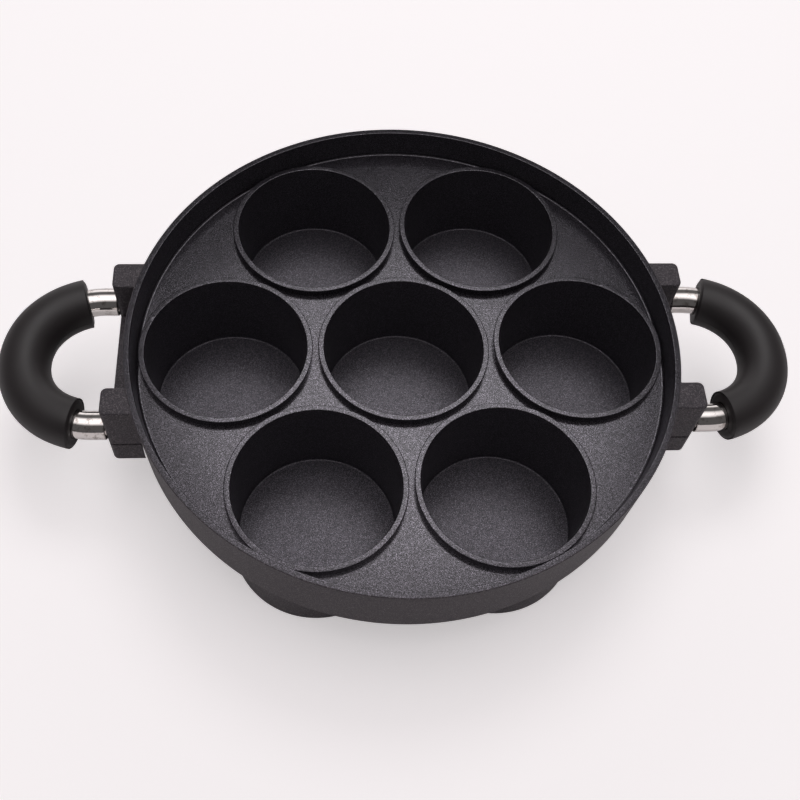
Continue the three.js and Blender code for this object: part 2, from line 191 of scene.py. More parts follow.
class Workpiece:
    """A mesh on the bench, shaped by the modelling operators."""

    def __init__(self, obj: bpy.types.Object) -> None:
        """Takes an object in hand."""
        self.obj = obj

    @classmethod
    def turned(cls, profile: Sequence[Point], steps: int) -> "Workpiece":
        """Spins a profile round the upright axis.

        Args:
            profile: points of radius and height; it starts and ends on the axis or closes on itself.
            steps: how many faces go round.

        Returns:
            The closed solid.
        """
        bpy.ops.object.select_all(action="DESELECT")
        bpy.ops.mesh.primitive_plane_add(size=1.0)
        piece = cls(bpy.context.object)
        piece.enter()
        bpy.ops.mesh.select_all(action="SELECT")
        bpy.ops.mesh.merge(type="CENTER")
        radius, height = profile[0]
        bpy.ops.transform.translate(value=(radius, 0.0, height))
        for (r0, z0), (r1, z1) in zip(profile, profile[1:]):
            bpy.ops.mesh.extrude_region_move(TRANSFORM_OT_translate={"value": (r1 - r0, 0.0, z1 - z0)})
        bpy.ops.mesh.select_all(action="SELECT")
        bpy.ops.mesh.spin(steps=steps, angle=2 * math.pi, center=(0, 0, 0), axis=(0, 0, 1))
        piece.leave()
        return piece.closed()

    @classmethod
    def drum(cls, radius: float, low: float, high: float, steps: int) -> "Workpiece":
        """Turns a plain round bar that stands upright."""
        return cls.turned([(0.0, low), (radius, low), (radius, high), (0.0, high)], steps)

    @classmethod
    def block(cls, low: Triple, high: Triple) -> "Workpiece":
        """Adds a block.

        Args:
            low: its lowest corner.
            high: its highest corner.

        Returns:
            The block.
        """
        bpy.ops.object.select_all(action="DESELECT")
        middle = [(a + b) / 2 for a, b in zip(low, high)]
        bpy.ops.mesh.primitive_cube_add(size=1.0, location=middle)
        piece = cls(bpy.context.object)
        piece.obj.scale = [b - a for a, b in zip(low, high)]
        return piece.settled()

    @classmethod
    def swept(cls, route: "Route", radius: float, trim: float, sides: int) -> "Workpiece":
        """Draws a round section along a route.

        Args:
            route: the centre line.
            radius: the section's radius.
            trim: the length that is left off at each end.
            sides: how many faces go round the section.

        Returns:
            The closed solid.
        """
        bpy.ops.object.select_all(action="DESELECT")
        bpy.ops.curve.primitive_bezier_curve_add()
        curve = bpy.context.object.data
        spline = curve.splines[0]
        route.lay(spline)
        curve.resolution_u = route.steps
        curve.bevel_depth = radius
        curve.bevel_resolution = (sides - 4) // 2  # a resolution of n gives 2 n + 4 sides
        curve.use_fill_caps = True
        curve.bevel_factor_mapping_start = "SPLINE"
        curve.bevel_factor_mapping_end = "SPLINE"
        curve.bevel_factor_start = trim / spline.calc_length()
        curve.bevel_factor_end = 1.0 - trim / spline.calc_length()
        bpy.ops.object.convert(target="MESH")
        return cls(bpy.context.object).closed()

    @staticmethod
    def gathered(pieces: Sequence["Workpiece"]) -> "Workpiece":
        """Makes several pieces one mesh of loose parts.

        Args:
            pieces: the pieces.

        Returns:
            The first one, with the others in it.
        """
        pieces[0].pick()
        for piece in pieces[1:]:
            piece.obj.select_set(True)
        bpy.ops.object.join()
        return pieces[0]

    def pick(self) -> None:
        """Makes this the only selected object and the active one."""
        bpy.ops.object.select_all(action="DESELECT")
        self.obj.select_set(True)
        bpy.context.view_layer.objects.active = self.obj

    def enter(self, picks: Picks = Picks.POINTS) -> None:
        """Takes the piece into edit mode.

        Args:
            picks: what is picked there.
        """
        self.pick()
        bpy.context.tool_settings.mesh_select_mode = picks.value
        bpy.ops.object.mode_set(mode="EDIT")

    def leave(self) -> None:
        """Takes the piece out of edit mode."""
        bpy.ops.object.mode_set(mode="OBJECT")
        bpy.context.tool_settings.mesh_select_mode = Picks.POINTS.value

    def settled(self) -> "Workpiece":
        """Brings the picked piece's place, turn and scale into its mesh."""
        bpy.ops.object.transform_apply(location=True, rotation=True, scale=True)
        return self

    def scrap(self) -> None:
        """Removes a piece that is used up."""
        bpy.data.objects.remove(self.obj, do_unlink=True)

    def closed(self) -> "Workpiece":
        """Merges doubled points and turns the faces outwards.

        Returns:
            This piece.
        """
        self.enter()
        bpy.ops.mesh.select_all(action="SELECT")
        bpy.ops.mesh.remove_doubles(threshold=MERGE)
        bpy.ops.mesh.normals_make_consistent(inside=False)
        self.leave()
        return self

    def round_edges(
        self, wanted: Callable[[Vector, Vector], bool], radius: float, segments: int
    ) -> "Workpiece":
        """Rounds the edges that are asked for.

        Args:
            wanted: says whether an edge with these two ends is rounded.
            radius: the rounding's width.
            segments: how many faces it has.

        Returns:
            This piece.
        """
        mesh = self.obj.data
        for elements in (mesh.vertices, mesh.edges, mesh.polygons):
            elements.foreach_set("select", [False] * len(elements))
        for edge in mesh.edges:
            ends = [mesh.vertices[i] for i in edge.vertices]
            if wanted(ends[0].co, ends[1].co):
                for element in (edge, *ends):
                    element.select = True
        self.enter(Picks.EDGES)
        bpy.ops.mesh.bevel(offset=radius, segments=segments, profile=0.5, affect="EDGES")
        self.leave()
        return self

    def round_sharp(self, radius: float, segments: int, sharpness: float = 60.0) -> "Workpiece":
        """Rounds every sharp edge.

        Args:
            radius: the rounding's width.
            segments: how many faces it has.
            sharpness: the angle in degrees past which an edge is sharp.

        Returns:
            This piece.
        """
        self.enter(Picks.EDGES)
        bpy.ops.mesh.select_all(action="DESELECT")
        bpy.ops.mesh.edges_select_sharp(sharpness=math.radians(sharpness))
        bpy.ops.mesh.bevel(offset=radius, segments=segments, profile=0.5, affect="EDGES")
        self.leave()
        return self

    def halved(self, height: float, keep_upper: bool) -> "Workpiece":
        """Saws the piece level, keeps one half and fills the sawn faces anew.

        Args:
            height: where the saw goes.
            keep_upper: whether the upper half stays.

        Returns:
            This piece.
        """
        low, high = (-BENCH, height) if keep_upper else (height, BENCH)
        self.worked(Workpiece.block((-BENCH, -BENCH, low), (BENCH, BENCH, high)), Joint.CUT).closed()
        mesh = self.obj.data
        for face in mesh.polygons:
            face.select = all(abs(mesh.vertices[i].co.z - height) < MERGE for i in face.vertices)
        self.enter(Picks.FACES)
        bpy.ops.mesh.delete(type="ONLY_FACE")
        bpy.context.tool_settings.mesh_select_mode = Picks.EDGES.value
        bpy.ops.mesh.select_all(action="DESELECT")
        bpy.ops.mesh.select_non_manifold(use_wire=False)
        bpy.ops.mesh.fill(use_beauty=True)
        self.leave()
        return self.closed()

    def worked(self, other: "Workpiece", how: Joint) -> "Workpiece":
        """Joins another solid on or cuts it out.

        Args:
            other: the solid, which is used up.
            how: whether it is joined or cut.

        Returns:
            This piece.
        """
        modifier = self.obj.modifiers.new(how.name.lower(), "BOOLEAN")
        modifier.operation = how.value
        modifier.solver = "MANIFOLD"
        modifier.object = other.obj
        self.pick()
        bpy.ops.object.modifier_apply(modifier=modifier.name)
        other.scrap()
        return self

    def copy(self) -> "Workpiece":
        """Copies the piece.

        Returns:
            The copy, with a mesh of its own.
        """
        self.pick()
        bpy.ops.object.duplicate(linked=False)
        return Workpiece(bpy.context.object)

    def moved(self, step: Triple) -> "Workpiece":
        """Moves the piece.

        Args:
            step: how far.

        Returns:
            This piece.
        """
        self.pick()
        bpy.ops.transform.translate(value=step)
        return self.settled()

    def rotated(self, angle: float, axis: str = "Z") -> "Workpiece":
        """Turns the piece about an axis through the origin.

        Args:
            angle: how far in radians. With no window, the operator turns against the usual sense.
            axis: the axis's letter.

        Returns:
            This piece.
        """
        self.pick()
        bpy.ops.transform.rotate(value=angle, orient_axis=axis, center_override=(0.0, 0.0, 0.0))
        return self.settled()

    def laid_down(self) -> "Workpiece":
        """Tips an upright piece over until its top points to the right."""
        return self.rotated(-QUARTER_TURN, "Y")

    def mirrored(self) -> "Workpiece":
        """Mirrors the piece from front to rear.

        Returns:
            This piece.
        """
        self.pick()
        bpy.ops.transform.mirror(
            constraint_axis=(False, True, False), orient_type="GLOBAL", center_override=(0.0, 0.0, 0.0)
        )
        return self.settled().closed()

    def copies(self, steps: Iterable[Triple]) -> list["Workpiece"]:
        """Copies the piece to several places and uses it up.

        Args:
            steps: how far each copy moves.

        Returns:
            The copies.
        """
        made = [self.copy().moved(step) for step in steps]
        self.scrap()
        return made

    def spread(self, steps: Iterable[Triple]) -> "Workpiece":
        """Copies the piece to several places as one mesh, and uses it up."""
        return Workpiece.gathered(self.copies(steps))

    def placed(self, side: Side) -> "Workpiece":
        """The right-hand piece itself, or a copy of it that is turned to the left."""
        return self if side is Side.RIGHT else self.copy().rotated(side.value)

    def on_both_sides(self) -> "Workpiece":
        """Makes the right-hand piece and its left-hand copy one mesh."""
        return Workpiece.gathered([self, self.placed(Side.LEFT)])

    def finished(
        self, name: str, node: str, slot: Slot, finishes: Sequence[bpy.types.Material], crease: float = 30.0
    ) -> bpy.types.Object:
        """Brings the piece to metres, smooths it, paints it and hangs it on the frame.

        Args:
            name: the piece's name.
            node: the solid that it stands for.
            slot: the record's material slot; not used.
            finishes: its materials.
            crease: the angle in degrees past which an edge stays sharp.

        Returns:
            The finished object.
        """
        self.pick()
        self.obj.scale = (MM, MM, MM)
        self.settled()
        bpy.ops.object.shade_smooth_by_angle(angle=math.radians(crease))
        normals = self.obj.modifiers.new("even_faces", "WEIGHTED_NORMAL")
        normals.keep_sharp = True
        bpy.ops.object.modifier_apply(modifier=normals.name)
        self.obj.name = name
        self.obj.data.name = name
        self.obj.data.materials.clear()
        for finish in finishes:
            self.obj.data.materials.append(finish)
        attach(self.obj, "root")
        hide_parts(node)
        LOG.info("%s stands for %s, %d faces", name, node, len(self.obj.data.polygons))
        return self.obj


@dataclass(frozen=True)
class Mottle:
    """An uneven pattern: the width of its patches in millimetres, and how finely and how roughly they break up."""

    size: float
    detail: float
    roughness: float = 0.5

    @property
    def inputs(self) -> dict[str, float]:
        """The values of a noise."""
        return {"Scale": 1 / (self.size * MM), "Detail": self.detail, "Roughness": self.roughness}


@dataclass(frozen=True)
class Relief:
    """A surface's fine relief: how much of it the light shows, and its depth in millimetres."""

    strength: float
    depth: float

    @property
    def inputs(self) -> dict[str, float]:
        """The values of a bump."""
        return {"Strength": self.strength, "Distance": self.depth * MM}


@dataclass(frozen=True, kw_only=True)
class UnevenSurface:
    """A surface with soft patches, which have a colour and a gloss of their own, and a fine grain."""

    name: str
    base: str
    patch: str
    roughness: float
    patch_roughness: float
    patches: Mottle
    patch_start: float = 0.0
    patch_full: float = 1.0
    grain: Mottle
    relief: Relief
    metal: float = 0.0
    index: float = 1.5  # the shader's own, which the metals keep

    def inputs(self, tree: bpy.types.NodeTree, place: bpy.types.NodeSocket) -> dict[str, Any]:
        """Works out what the shader gets.

        Args:
            tree: the material's node tree.
            place: the place of a point on the piece.

        Returns:
            A socket or a value for each input.
        """
        drift = add_node(tree, "ShaderNodeTexNoise", {"Vector": place, **self.patches.inputs}).outputs["Fac"]
        grain = add_node(tree, "ShaderNodeTexNoise", {"Vector": place, **self.grain.inputs}).outputs["Fac"]
        patch = add_node(
            tree,
            "ShaderNodeMapRange",
            {"Value": drift, "From Min": self.patch_start, "From Max": self.patch_full},
        ).outputs["Result"]
        colour = add_node(
            tree,
            "ShaderNodeMix",
            {"Factor": patch, FIRST_COLOUR: linear(self.base), SECOND_COLOUR: linear(self.patch)},
            data_type="RGBA",
        ).outputs[MIXED_COLOUR]
        gloss = add_node(
            tree,
            "ShaderNodeMapRange",
            {"Value": patch, "To Min": self.roughness, "To Max": self.patch_roughness},
        ).outputs["Result"]
        skin = add_node(tree, "ShaderNodeBump", {"Height": grain, **self.relief.inputs}).outputs["Normal"]
        return {
            "Base Color": colour,
            "Metallic": self.metal,
            "Roughness": gloss,
            "IOR": self.index,
            "Normal": skin,
        }

    def make(self) -> bpy.types.Material:
        """Builds the material.

        Returns:
            The material.
        """
        material, tree = blank_material(self.name)
        place = add_node(tree, "ShaderNodeTexCoord").outputs["Object"]
        shader = add_node(tree, "ShaderNodeBsdfPrincipled", self.inputs(tree, place))
        add_node(tree, "ShaderNodeOutputMaterial", {"Surface": shader.outputs["BSDF"]})
        return material


@dataclass(frozen=True, kw_only=True)
class NonStickCoat(UnevenSurface):
    """Non-stick coating sprayed on die-cast aluminium and baked.

    It is a charcoal film with a soft, slightly clouded gloss, a faint peel and metallic flakes that catch the light.
    Real flakes are some hundredths of a millimetre wide and are drawn coarser so that they show.
    """

    patches: Mottle = Mottle(size=22.0, detail=4.0, roughness=0.6)
    grain: Mottle = Mottle(size=1.0, detail=2.0)
    relief: Relief = Relief(strength=0.08, depth=0.04)
    flake: str
    flake_share: float
    flake_size: float
    flake_metal: float
    flake_relief: Relief = Relief(strength=0.2, depth=0.03)
    tint: str = "#fbf8ff"

    def inputs(self, tree: bpy.types.NodeTree, place: bpy.types.NodeSocket) -> dict[str, Any]:
        """Strews flakes into the film, below its peel.

        Args:
            tree: the material's node tree.
            place: the place of a point on the piece.

        Returns:
            A socket or a value for each of the shader's inputs.
        """
        film = super().inputs(tree, place)
        cells = add_node(tree, "ShaderNodeTexVoronoi", {"Vector": place, "Scale": 1 / (self.flake_size * MM)})
        # Each cell's colour is a random draw: red says whether it is a flake, green how high it lies.
        draw = add_node(tree, "ShaderNodeSeparateColor", {"Color": cells.outputs["Color"]})
        flakes = add_node(
            tree,
            "ShaderNodeMapRange",
            {"Value": draw.outputs["Red"], "From Min": 1 - self.flake_share, "From Max": 1.0},
        ).outputs["Result"]
        colour = add_node(
            tree,
            "ShaderNodeMix",
            {"Factor": flakes, FIRST_COLOUR: film["Base Color"], SECOND_COLOUR: linear(self.flake)},
            data_type="RGBA",
        ).outputs[MIXED_COLOUR]
        metal = add_node(
            tree, "ShaderNodeMapRange", {"Value": flakes, "To Min": self.metal, "To Max": self.flake_metal}
        ).outputs["Result"]
        tilt = add_node(tree, "ShaderNodeBump", {"Height": draw.outputs["Green"], **self.flake_relief.inputs})
        tree.links.new(tilt.outputs["Normal"], film["Normal"].node.inputs["Normal"])
        return {**film, "Base Color": colour, "Metallic": metal, "Specular Tint": linear(self.tint)}


COATS = {
    # The outer coat is plain, with duller flakes and the dullest gloss.
    Coat.OUTSIDE: NonStickCoat(
        name="plain_non_stick_coat",
        base="#464246",
        patch="#4f4b4f",
        roughness=0.39,
        patch_roughness=0.51,
        index=1.26,
        flake="#867f83",
        flake_share=0.32,
        flake_size=0.26,
        flake_metal=0.3,
    ),
    # The deck has the glossiest coat, which mirrors the lamp and sparkles.
    Coat.DECK: NonStickCoat(
        name="sparkling_non_stick_coat",
        base="#1b191d",
        patch="#222024",
        roughness=0.1,
        patch_roughness=0.22,
        metal=0.03,
        index=1.5,
        flake="#807b84",
        flake_share=0.38,
        flake_size=0.18,
        flake_metal=1.0,
    ),
    # The cups have a satin coat with a fine, even sparkle.
    Coat.CUPS: NonStickCoat(
        name="smooth_non_stick_coat",
        base="#312f34",
        patch="#39373c",
        roughness=0.36,
        patch_roughness=0.48,
        metal=0.02,
        index=1.48,
        flake="#8f8a94",
        flake_share=0.4,
        flake_size=0.2,
        flake_metal=1.0,
    ),
}


@dataclass(frozen=True, kw_only=True)
class ChromePlate(UnevenSurface):
    """Bright chrome plated on a bent steel bar.

    It mirrors the room, with a few scuffs that dull and blur it.
    """

    name: str = "bright_chrome_plated_steel"
    base: str = "#f2edea"
    patch: str = "#8a7b71"
    roughness: float = 0.05
    patch_roughness: float = 0.26
    patches: Mottle = Mottle(size=4.0, detail=6.0, roughness=0.7)
    patch_start: float = 0.52
    patch_full: float = 0.72
    grain: Mottle = patches  # the scuffs are also shallow dents
    relief: Relief = Relief(strength=0.08, depth=0.05)
    metal: float = 1.0


@dataclass(frozen=True, kw_only=True)
class MouldedPhenolic(UnevenSurface):
    """Black phenolic resin moulded in a steel tool.

    It is a satin black with a fine moulded grain and a slightly uneven gloss from handling. The real grain is about a
    tenth of a millimetre wide and is drawn coarser so that it shows.
    """

    name: str = "moulded_black_phenolic"
    base: str = "#292526"
    patch: str = "#353031"
    roughness: float = 0.42
    patch_roughness: float = 0.58
    patches: Mottle = Mottle(size=14.0, detail=5.0, roughness=0.65)
    grain: Mottle = Mottle(size=0.7, detail=3.0)
    relief: Relief = Relief(strength=0.35, depth=0.05)
    index: float = 1.55


@dataclass(frozen=True, kw_only=True)
class ZincPlate(UnevenSurface):
    """Zinc plated on cold-headed steel and passivated.

    It is a pale grey metal with a patchy, slightly yellow and duller bloom.
    """

    name: str = "zinc_plated_steel"
    base: str = "#b9bab8"
    patch: str = "#a8a390"
    roughness: float = 0.24
    patch_roughness: float = 0.46
    patches: Mottle = Mottle(size=2.5, detail=4.0)
    grain: Mottle = patches  # the bloom is also a thin crust
    relief: Relief = Relief(strength=0.1, depth=0.03)
    metal: float = 1.0


@dataclass(frozen=True)
class ScrewSize:
    """A cross-recessed screw. Shank and head are given by their radius."""

    shank: float
    head: float
    head_height: float
    recess: float
    slot: float
    crown_steps: int = 4

    def build(self, seat: float, tip: float, steps: int) -> Workpiece:
        """Turns the screw, head down, and cuts its cross.

        Args:
            seat: the height of the head's upper face.
            tip: the height of the screw's tip.
            steps: how many faces go round.

        Returns:
            The screw on the upright axis.
        """
        under = seat - self.head_height
        crown = self.head_height / 3
        profile = [
            (0.0, under),
            *arc((self.head - crown, under + crown), crown, -90.0, 0.0, self.crown_steps),
            (self.head, seat),
            (self.shank, seat),
            (self.shank, tip - self.shank / 2),
            (self.shank / 2, tip),
            (0.0, tip),
        ]
        screw = Workpiece.turned(profile, steps)
        for x, y in ((self.head, self.slot), (self.slot, self.head)):
            bar = Workpiece.block((-x / 2, -y / 2, under - OVERRUN), (x / 2, y / 2, under + self.recess))
            screw.worked(bar, Joint.CUT)
        return screw


@dataclass(frozen=True)
class Plan:
    """Sizes that several pieces share."""

    rim_radius: float = 120.0
    rim_top: float = 65.0
    skirt_bottom: float = 31.5
    wall_middle: float = 118.0
    lug_root: float = 106.0
    lug_end: float = 127.0
    lug_offset: float = 32.0
    lug_width: float = 13.0
    lug_bottom: float = 39.0
    lug_corner: float = 2.5
    lug_edge: float = 0.8
    bar_axis: float = 44.5
    spigot_radius: float = 4.5
    spigot_end: float = 117.0
    lug_screw: ScrewSize = ScrewSize(shank=2.0, head=3.4, head_height=2.6, recess=1.2, slot=0.9)
    lug_screw_x: float = 121.2
    lug_screw_bite: float = 6.0
    clearance: float = 0.3
    rim_steps: int = 240
    small_steps: int = 40
    lug_corner_steps: int = 6
    lug_edge_steps: int = 4

    def at_lugs(self, x: float = 0.0, height: float = 0.0) -> list[Triple]:
        """A place at the front right lug and its like at the rear one."""
        return [(x, -self.lug_offset, height), (x, self.lug_offset, height)]

    def lug_block(self, bottom: float, top: float) -> Workpiece:
        """Shapes a block with a lug's outline and roundings.

        Args:
            bottom: the height of its lower face.
            top: the height of its upper face.

        Returns:
            The block, midway between the places of the right-hand lugs.
        """
        half = self.lug_width / 2
        block = Workpiece.block((self.lug_root, -half, bottom), (self.lug_end, half, top))
        block.round_edges(
            lambda a, b: min(a.x, b.x) > self.lug_end - MERGE and a.z != b.z,
            self.lug_corner,
            self.lug_corner_steps,
        )
        return block.round_edges(
            lambda a, b: abs(a.z - b.z) < MERGE and max(a.x, b.x) > self.lug_root + MERGE,
            self.lug_edge,
            self.lug_edge_steps,
        )


@dataclass
class Casting:
    """The cast body: tray, cups, lugs and webs in one piece."""

    plan: Plan
    rim_wall: float = 2.8
    rim_draft: float = 1.2
    rim_edge: float = 0.4
    tray_fillet: float = 1.2
    deck_top: float = 52.0
    deck_bottom: float = 48.5
    skirt_edge: float = 1.2
    ring_cups: int = 6
    cup_pitch: float = 77.5
    mouth_radius: float = 35.0
    floor_radius: float = 34.4
    floor_top: float = 12.0
    floor_fillet: float = 0.9
    foot_radius: float = 37.2
    foot_edge: float = 1.6
    lip_radius: float = 37.6
    lip_top: float = 55.5
    lip_edge: float = 0.4
    lug_top: float = 64.7
    web_bottom: float = 39.3
    web_thickness: float = 3.2
    web_inset: float = 0.6
    web_edge: float = 0.5
    web_edge_steps: int = 3
    cup_steps: int = 96

    @property
    def centres(self) -> list[Triple]:
        """Where the cups stand.

        Returns:
            The middle cup's place and then the ring's.
        """
        angles = [2 * math.pi * i / self.ring_cups for i in range(self.ring_cups)]
        ring = [(self.cup_pitch * math.cos(a), self.cup_pitch * math.sin(a), 0.0) for a in angles]
        return [(0.0, 0.0, 0.0), *ring]

    @property
    def inner_foot(self) -> float:
        """The rim's inner radius where it rises from the deck."""
        return self.plan.rim_radius - self.rim_wall - self.rim_draft

    def tray(self) -> Workpiece:
        """Turns the tray: deck, upright rim and skirt.

        Returns:
            The tray.
        """
        rim, top, bottom = self.plan.rim_radius, self.plan.rim_top, self.plan.skirt_bottom
        inner_foot, inner_top = self.inner_foot, rim - self.rim_wall
        outer_foot = rim - self.rim_draft
        edge, skirt, fillet = self.rim_edge, self.skirt_edge, self.tray_fillet
        profile = [
            (0.0, self.deck_bottom),
            (inner_foot, self.deck_bottom),
            (inner_foot, bottom),
            *arc((outer_foot - skirt, bottom + skirt), skirt, -90.0, 0.0),
            *arc((rim - edge, top - edge), edge, 0.0, 90.0),
            *arc((inner_top + edge, top - edge), edge, 90.0, 180.0),
            *arc((inner_foot - fillet, self.deck_top + fillet), fillet, 0.0, -90.0, FILLET_STEPS),
            (0.0, self.deck_top),
        ]
        return Workpiece.turned(profile, self.plan.rim_steps)

    def cups(self) -> Workpiece:
        """Turns the solid of one cup, from foot to lip, and copies it round.

        Returns:
            The seven solids.
        """
        foot, lip = self.foot_edge, self.lip_edge
        profile = [
            (0.0, 0.0),
            *arc((self.foot_radius - foot, foot), foot, -90.0, 0.0),
            *arc((self.lip_radius - lip, self.lip_top - lip), lip, 0.0, 90.0),
            (0.0, self.lip_top),
        ]
        return Workpiece.turned(profile, self.cup_steps).spread(self.centres)

    def hollows(self) -> Workpiece:
        """Turns what is cut out of one cup, and copies it round.

        Returns:
            The seven cutters.
        """
        fillet, lip = self.floor_fillet, self.lip_edge
        mouth = self.mouth_radius + lip
        profile = [
            (0.0, self.floor_top),
            *arc((self.floor_radius - fillet, self.floor_top + fillet), fillet, -90.0, 0.0, FILLET_STEPS),
            *arc((mouth, self.lip_top - lip), lip, 180.0, 90.0),
            (mouth, self.lip_top + OVERRUN),
            (0.0, self.lip_top + OVERRUN),
        ]
        return Workpiece.turned(profile, self.cup_steps).spread(self.centres)

    def inside(self) -> Workpiece:
        """A drum up to the middle of the rim's wall, which trims what is cast on outside."""
        low, high = self.plan.lug_bottom - OVERRUN, self.plan.rim_top + OVERRUN
        return Workpiece.drum(self.plan.wall_middle, low, high, self.plan.rim_steps)

    def lugs(self) -> Workpiece:
        """Shapes one lug, copies it to its four places and trims them to the wall."""
        lug = self.plan.lug_block(self.plan.lug_bottom, self.lug_top)
        return lug.spread(self.plan.at_lugs()).on_both_sides().worked(self.inside(), Joint.CUT)

    def webs(self) -> Workpiece:
        """Shapes the flat web between two lugs, on both sides.

        Returns:
            The two webs.
        """
        plan = self.plan
        reach = plan.lug_offset - plan.lug_width / 2 + plan.lug_edge
        end = plan.lug_end - self.web_inset
        web = Workpiece.block(
            (plan.lug_root, -reach, self.web_bottom), (end, reach, self.web_bottom + self.web_thickness)
        )
        web.round_edges(
            lambda a, b: min(a.x, b.x) > end - MERGE and a.y != b.y, self.web_edge, self.web_edge_steps
        )
        return web.on_both_sides().worked(self.inside(), Joint.CUT)

    def slots(self) -> Workpiece:
        """Shapes what is cut out of the four lugs for the bars' spigots: a bore, open downwards.

        Returns:
            The four cutters.
        """
        plan = self.plan
        radius = plan.spigot_radius + plan.clearance
        start, end = plan.spigot_end - plan.clearance, plan.lug_end + OVERRUN
        bore = Workpiece.drum(radius, start, end, plan.small_steps).laid_down().moved((0.0, 0.0, plan.bar_axis))
        gate = Workpiece.block((start, -radius, plan.lug_bottom - OVERRUN), (end, radius, plan.bar_axis))
        return bore.worked(gate, Joint.JOIN).spread(plan.at_lugs()).on_both_sides()

    def build(self) -> Workpiece:
        """Joins and cuts the whole body.

        Returns:
            The body.
        """
        body = self.tray()
        for part in (self.webs, self.lugs, self.cups):
            body.worked(part(), Joint.JOIN)
        for part in (self.hollows, self.slots):
            body.worked(part(), Joint.CUT)
        return body

    def coat_at(self, place: Vector) -> Coat:
        """Tells a face's coat. The cups' coat is also on the rim's inner wall, and the deck's coat on lips and rim.

        Args:
            place: the face's middle in metres.

        Returns:
            The coat.
        """
        plan = self.plan
        x, y, z = place / MM
        reach = math.hypot(x, y)
        near = min(math.hypot(x - cx, y - cy) for cx, cy, _ in self.centres)
        in_cup = near < self.mouth_radius and self.floor_top - MERGE < z < self.lip_top - self.lip_edge
        on_wall = self.inner_foot < reach < plan.wall_middle and self.deck_top < z < plan.rim_top - self.rim_edge
        if in_cup or on_wall:
            return Coat.CUPS
        over_deck = z > self.deck_top - MERGE and reach < plan.wall_middle
        on_rim = z > plan.rim_top - MERGE and reach < plan.rim_radius
        return Coat.DECK if over_deck or on_rim else Coat.OUTSIDE

    def dress(self, coats: dict[Coat, bpy.types.Material]) -> None:
        """Finishes the body, with each coat in its place.

        Args:
            coats: the coats' materials.
        """
        finishes = [coats[coat] for coat in Coat]
        body = self.build().finished("coated_pan_body", "pan_casting", Slot.COATING, finishes)
        for face in body.data.polygons:
            face.material_index = self.coat_at(face.center)


@dataclass(frozen=True)
class Route:
    """The centre line of a bar outside its lugs: straight, round the bend, straight."""

    start: float
    bend: float
    reach: float
    offset: float
    height: float
    ease_out: float
    ease_in: float
    steps: int = 24

    def lay(self, spline: bpy.types.Spline) -> None:
        """Sets a new curve's points on this line.

        Args:
            spline: the curve's spline.
        """
        third = (self.bend - self.start) / 3
        ease = self.bend + self.ease_out
        stations = [
            ((self.start, -self.offset), (self.start - third, -self.offset), (self.start + third, -self.offset)),
            ((self.bend, -self.offset), (self.bend - third, -self.offset), (ease, -self.offset)),
            ((self.reach, 0.0), (self.reach, -self.ease_in), (self.reach, self.ease_in)),
            ((self.bend, self.offset), (ease, self.offset), (self.bend - third, self.offset)),
            ((self.start, self.offset), (self.start + third, self.offset), (self.start - third, self.offset)),
        ]
        spline.bezier_points.add(len(stations) - len(spline.bezier_points))
        for point, (place, before, after) in zip(spline.bezier_points, stations):
            point.handle_left_type = "FREE"
            point.handle_right_type = "FREE"
            point.co = (*place, self.height)
            point.handle_left = (*before, self.height)
            point.handle_right = (*after, self.height)


